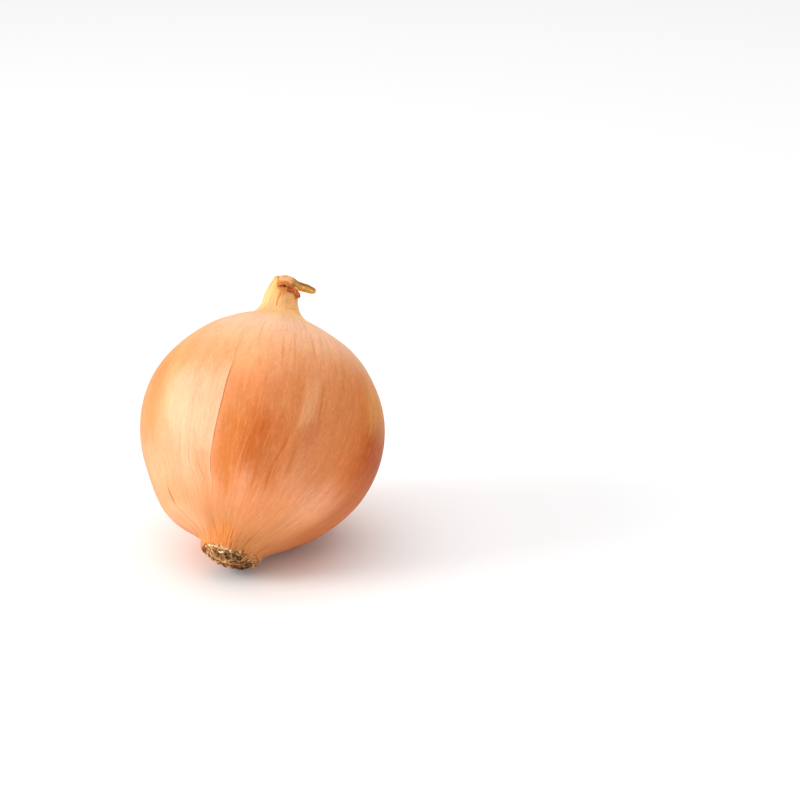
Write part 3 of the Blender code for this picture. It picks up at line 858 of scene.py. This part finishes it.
def makeNeckTip():
    # a dry leaf end that rises from the mouth and folds over to the front like a hood
    form = tipForm
    line = smoothLine(form["path"], 8)
    share = np.linspace(-1, 1, form["columns"])
    middle = neckPlace(*line[:, :3].T)
    ahead = unitRows(np.gradient(middle, axis=0))
    turned, arch = math.radians(onion["mouthTurn"]), math.radians(form["arch"])
    side = np.array([math.cos(turned), math.sin(turned), 0.0])
    out = np.cross(ahead, side)
    across = np.sin(share * arch) / math.sin(arch)
    lift = form["bulge"] * (np.cos(share * arch) - math.cos(arch))
    grid = (middle[:, None, :] + side[None, None, :] * (across[None, :, None] * line[:, 3][:, None, None])
            + out[:, None, :] * lift[None, :, None])
    flat = shaken(grid.reshape(-1, 3), 0.7, (51, 52, 53), form["bend"])
    crumple = form["crumple"] * noiseAt(flat, 1.8, 54)
    grid = (flat + np.repeat(out, len(share), axis=0) * crumple[:, None]).reshape(grid.shape)
    # its free end is ragged
    fray = form["fray"] * noiseAt(np.stack([share * 4, share * 0, share * 0], axis=1), 1.0, 55)
    for k in range(1, form["frayRows"]):
        grid[-k] += ahead[-1][None, :] * fray[:, None] * (1 - k / form["frayRows"])
    material = makeDryMaterial("leafTip", form["tones"], form["edge"], rim=0.5, end=form["end"])
    sheetPiece("neckTip", grid, share, 6, form["thickness"], material, "neck_tip")


makeNeckTip()

leafForm = {
    "path": [  # across, forward, height, half of its height, depth of the channel
        (-1.6, -1.5, 50.4, 0.9, 0.2), (-0.6, -2.2, 51.9, 1.2, 0.3), (0.9, -2.3, 52.5, 1.25, 0.3),
        (2.4, -2.2, 51.8, 1.25, 0.4), (3.7, -2.1, 51.2, 1.3, 0.55), (5.4, -1.9, 50.9, 1.35, 0.65),
        (7.3, -1.5, 50.5, 1.2, 0.6), (8.8, -1.2, 50.1, 0.9, 0.45), (9.6, -1.0, 50.0, 0.45, 0.2)],
    "columns": 21,
    "bend": (100, -70, -235),    # degrees round the channel, from its back rim to its front rim
    "frontWall": (0.45, 0.25),   # where it begins, and how high its rim is
    "crumple": 0.12,
    "thickness": 0.22,
    "tones": [(0.2, (0.46, 0.20, 0.02)), (0.5, (0.74, 0.38, 0.065)), (0.8, (0.92, 0.62, 0.22))],
    "edge": (0.34, 0.19, 0.02),
}


def makeDryLeaf():
    # a narrow channel, open at the top: its back wall stands higher than its front wall
    form = leafForm
    line = smoothLine(form["path"], 8)
    share = np.linspace(-1, 1, form["columns"])
    middle = neckPlace(*line[:, :3].T)
    ahead = unitRows(np.gradient(middle, axis=0))
    up = unitRows(np.array([0.0, 0.0, 1.0]) - ahead * ahead[:, 2:3])
    front = np.cross(ahead, up)
    front *= np.sign(front @ np.array([0.26, -0.97, 0.0]))[:, None]
    bend = np.radians(np.interp(share, [-1, 0, 1], form["bend"]))
    rise, depth = np.sin(bend), np.cos(bend)
    wallFrom, rim = form["frontWall"]
    wall = np.interp(share, [wallFrom, 1.0], [rise[np.argmin(abs(share - wallFrom))], rim])
    rise = np.where(share > wallFrom, wall, rise)
    grid = (middle[:, None, :] + up[:, None, :] * (rise[None, :, None] * line[:, 3][:, None, None])
            - front[:, None, :] * (depth[None, :, None] * line[:, 4][:, None, None]))
    grid = shaken(grid.reshape(-1, 3), 0.7, (61, 62, 63), form["crumple"]).reshape(grid.shape)
    material = makeDryMaterial("dryLeaf", form["tones"], form["edge"], roughness=0.5)
    sheetPiece("dryLeaf", grid, share, 9, form["thickness"], material, "dry_leaf")


makeDryLeaf()

stripForm = {
    "line": [  # angle and height on the neck, and how far it stands out from it
        (-68, 50.3, 0.00), (-61, 50.3, 0.25), (-53, 50.1, 0.45), (-45, 49.8, 0.55), (-37, 49.4, 0.65),
        (-30, 48.8, 0.68), (-25, 48.1, 0.65), (-21, 47.4, 0.60), (-18, 46.8, 0.50)],
    "columns": 13,
    "width": 1.05,
    "taper": ([0.0, 0.15, 0.5, 0.8, 1.0], [0.5, 0.85, 1.0, 1.0, 0.85]),   # along it, share of its width
    "bulge": 0.35,
    "crumple": 0.34,
    "thickness": 0.18,
    "tones": [(0.34, (0.28, 0.035, 0.001)), (0.5, (0.49, 0.088, 0.005)), (0.66, (0.82, 0.28, 0.07))],
    "edge": (0.36, 0.06, 0.003),
}


def onSkin(angle, height, out):
    # a point on the neck's skin at this angle in degrees, moved outwards
    line = smoothLine(skinForm["outline"], skinForm["stepsPerKnot"])
    rising = line[slice(*skinForm["outerSteps"])]
    radius = np.interp(height, rising[:, 1], rising[:, 0])
    share = ((np.degrees(edgeAngle(height)) - angle) % 360.0) / 360.0
    points, _ = skinSurface(share, radius, height)
    return points + outwards(angle) * np.asarray(out)[:, None]


def outwards(degrees):
    angle = np.radians(degrees)
    return np.stack([np.cos(angle), np.sin(angle), np.zeros(len(angle))], axis=1)


def makeTornStrip():
    # a strip of torn skin that curls out of the front of the mouth
    form = stripForm
    line = smoothLine(form["line"], 8)
    share = np.linspace(-1, 1, form["columns"])
    centre = onSkin(line[:, 0], line[:, 1], line[:, 2])
    ahead = unitRows(np.gradient(centre, axis=0))
    away = outwards(line[:, 0])
    side = np.cross(away, ahead)
    width = form["width"] * np.interp(np.linspace(0, 1, len(line)), *form["taper"])
    grid = (centre[:, None, :] + side[:, None, :] * (share[None, :, None] * width[:, None, None])
            + away[:, None, :] * (form["bulge"] * (1 - share**2))[None, :, None])
    grid = shaken(grid.reshape(-1, 3), 1.6, (71, 72, 73), form["crumple"]).reshape(grid.shape)
    material = makeDryMaterial("tornSkin", form["tones"], form["edge"])
    sheetPiece("tornStrip", grid, share, 6, form["thickness"], material)


makeTornStrip()


# floor, light and camera
stage = {
    "floorSize": 6.0,
    "floorColour": (0.95, 0.95, 0.95, 1.0),
    "worldStrength": 0.60,
    "lights": [  # direction from the onion, distance, width, height, power
        ("leftBox", (-0.87, -0.46, 0.22), 0.62, 0.30, 0.62, 4.1),
        ("topBox", (0.00, 0.10, 0.99), 1.6, 2.4, 2.4, 18.0),
        ("frontBox", (0.30, -0.94, 0.12), 1.3, 1.6, 0.5, 3.3),
    ],
}

view = {
    "azimuth": 15.5, "elevation": 22.0,   # degrees to the right of the front, and up
    "lens": 100.0,
    "distance": 0.6865, "right": 0.0425, "up": 0.0099,
}


def makeStage():
    bpy.ops.mesh.primitive_plane_add(size=stage["floorSize"], location=(0, 0, 0))
    floor = bpy.context.object
    floor.name = "floor"
    material, tree, shader = newMaterial("paleFloor", roughness=0.7, specular=0.2)
    shader.inputs["Base Color"].default_value = stage["floorColour"]
    floor.data.materials.append(material)
    world = bpy.data.worlds.new("softWorld")
    bpy.context.scene.world = world
    world.use_nodes = True
    world.node_tree.nodes["Background"].inputs["Color"].default_value = (1.0, 1.0, 1.0, 1.0)
    world.node_tree.nodes["Background"].inputs["Strength"].default_value = stage["worldStrength"]
    centre = Vector(onion["centre"])
    for name, direction, distance, width, height, power in stage["lights"]:
        lamp = bpy.data.lights.new(name, "AREA")
        lamp.shape = "RECTANGLE"
        lamp.size, lamp.size_y, lamp.energy = width, height, power
        box = bpy.data.objects.new(name, lamp)
        bpy.context.scene.collection.objects.link(box)
        box.location = centre + Vector(direction).normalized() * distance
        box.rotation_euler = (centre - box.location).to_track_quat("-Z", "Y").to_euler()


def makeCamera():
    azimuth, elevation = math.radians(view["azimuth"]), math.radians(view["elevation"])
    back = Vector((math.sin(azimuth) * math.cos(elevation), -math.cos(azimuth) * math.cos(elevation),
                   math.sin(elevation)))
    right = Vector((math.cos(azimuth), math.sin(azimuth), 0.0))
    up = back.cross(right)
    data = bpy.data.cameras.new("camera")
    data.lens, data.sensor_width = view["lens"], 36.0
    data.dof.use_dof = False
    data.clip_start, data.clip_end = 0.05, 20.0
    camera = bpy.data.objects.new("camera", data)
    bpy.context.scene.collection.objects.link(camera)
    place = Vector(onion["centre"]) + back * view["distance"] + right * view["right"] + up * view["up"]
    camera.matrix_world = Matrix.Translation(place) @ Matrix((right, up, back)).transposed().to_4x4()
    bpy.context.scene.camera = camera


makeStage()
makeCamera()
bpy.context.scene.view_settings.view_transform = "Standard"
print("stage and camera set")
